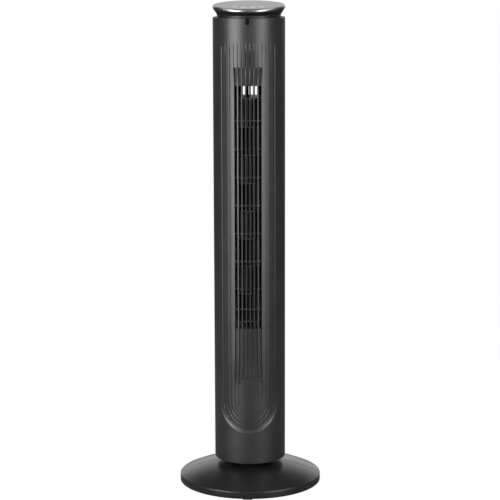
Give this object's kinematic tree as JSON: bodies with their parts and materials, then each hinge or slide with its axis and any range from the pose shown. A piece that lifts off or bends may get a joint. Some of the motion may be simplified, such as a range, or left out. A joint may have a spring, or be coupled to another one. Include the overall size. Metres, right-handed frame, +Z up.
{
  "type": "tower fan",
  "caption": "Slim cylindrical tower fan with a ribbed front, slotted air outlet, tilted silver control disc and a round domed base.",
  "frame": {"origin": "centre of the round base at the level of the soles of the rubber feet", "axes": "+Z up along the column, the air outlet faces -Y, +X is to the right seen from the front"},
  "size_m": [0.3, 0.3, 1.0225],
  "materials": {
    "base_plastic": "charcoal moulded plastic, soft sheen",
    "foot_rubber": "grey rubber",
    "neck_plastic": "black moulded plastic",
    "screw_steel": "zinc-plated steel",
    "white_gear_plastic": "natural acetal",
    "spring_steel": "spring steel",
    "column_plastic": "charcoal moulded plastic, semi-gloss",
    "inner_black_plastic": "black moulded plastic",
    "dark_window": "dark infra-red window",
    "circuit_board": "green circuit board",
    "wheel_plastic": "black glass-filled plastic",
    "black_rubber": "black rubber",
    "bronze": "sintered bronze",
    "rotor_metal": "die-cast cage and steel shaft",
    "stator_steel": "lamination stack",
    "zinc_cover": "pressed cover",
    "capacitor_case": "pale plastic case",
    "gloss_black": "black gloss plastic",
    "silver_paint": "satin silver face, polished edge",
    "button_silver": "satin silver"
  },
  "bodies": {
    "base": {"base_front_half": "base_plastic", "base_rear_half": "base_plastic", "foot_1": "foot_rubber", "foot_2": "foot_rubber", "foot_3": "foot_rubber", "foot_4": "foot_rubber", "foot_5": "foot_rubber", "pedestal": "neck_plastic", "base_screws": "screw_steel", "thrust_ring": "white_gear_plastic", "retaining_ring": "spring_steel", "swivel_gear": "white_gear_plastic"},
    "column": {"bearing_rubber": "black_rubber", "board_rails": "inner_black_plastic", "bottom_cap": "column_plastic", "control_board": "circuit_board", "control_disc": "silver_paint", "cord_gland": "inner_black_plastic", "front_shell": "column_plastic", "grille_insert": "inner_black_plastic", "lower_plate": "inner_black_plastic", "main_board": "circuit_board", "motor_bottom_cover": "zinc_cover", "motor_capacitor": "capacitor_case", "motor_rubbers": "black_rubber", "motor_screws": "screw_steel", "motor_stator": "stator_steel", "motor_top_cover": "zinc_cover", "rear_shell": "column_plastic", "receiver_board": "circuit_board", "receiver_window": "dark_window", "scroll_plate": "inner_black_plastic", "shell_screws": "screw_steel", "swing_motor": "zinc_cover", "tongue_plate": "inner_black_plastic", "top_neck": "gloss_black", "turntable": "inner_black_plastic", "upper_bush": "bronze", "upper_plate": "inner_black_plastic"},
    "blower": {"wheel_hub": "wheel_plastic", "wheel_segment_1": "wheel_plastic", "wheel_segment_2": "wheel_plastic", "wheel_segment_3": "wheel_plastic", "wheel_segment_4": "wheel_plastic", "wheel_segment_5": "wheel_plastic", "wheel_segment_6": "wheel_plastic", "wheel_segment_7": "wheel_plastic", "wheel_segment_8": "wheel_plastic", "wheel_top_disc": "wheel_plastic", "rubber_coupling": "black_rubber", "motor_rotor": "rotor_metal"},
    "pinion": {"swing_pinion": "white_gear_plastic"},
    "key_1": {"button_1": "button_silver"},
    "key_2": {"button_2": "button_silver"},
    "key_3": {"button_3": "button_silver"},
    "key_4": {"button_4": "button_silver"}
  },
  "joints": [
    {"name": "column_swivel", "type": "hinge", "parent": "base", "child": "column", "pos_m": [0, 0, 0.066], "axis": [0, 0, 1], "range_deg": [-35, 35]},
    {"name": "blower_spin", "type": "hinge", "parent": "column", "child": "blower", "pos_m": [-0.004, 0.008, 0.6], "axis": [0, 0, 1], "continuous": true},
    {"name": "pinion_spin", "type": "hinge", "parent": "column", "child": "pinion", "pos_m": [0, 0.03765, 0.07], "axis": [0, 0, 1], "range_deg": [-140, 140]},
    {"name": "button_1_press", "type": "slide", "parent": "column", "child": "key_1", "axis": [0, 0.0872, -0.9962], "range_m": [0, 0.0008], "stiffness_N_per_m": 400},
    {"name": "button_2_press", "type": "slide", "parent": "column", "child": "key_2", "axis": [0, 0.0872, -0.9962], "range_m": [0, 0.0008], "stiffness_N_per_m": 400},
    {"name": "button_3_press", "type": "slide", "parent": "column", "child": "key_3", "axis": [0, 0.0872, -0.9962], "range_m": [0, 0.0008], "stiffness_N_per_m": 400},
    {"name": "button_4_press", "type": "slide", "parent": "column", "child": "key_4", "axis": [0, 0.0872, -0.9962], "range_m": [0, 0.0008], "stiffness_N_per_m": 400}
  ],
  "couplings": [
    {"joint": "pinion_spin", "follows": "column_swivel", "ratio": 4}
  ]
}
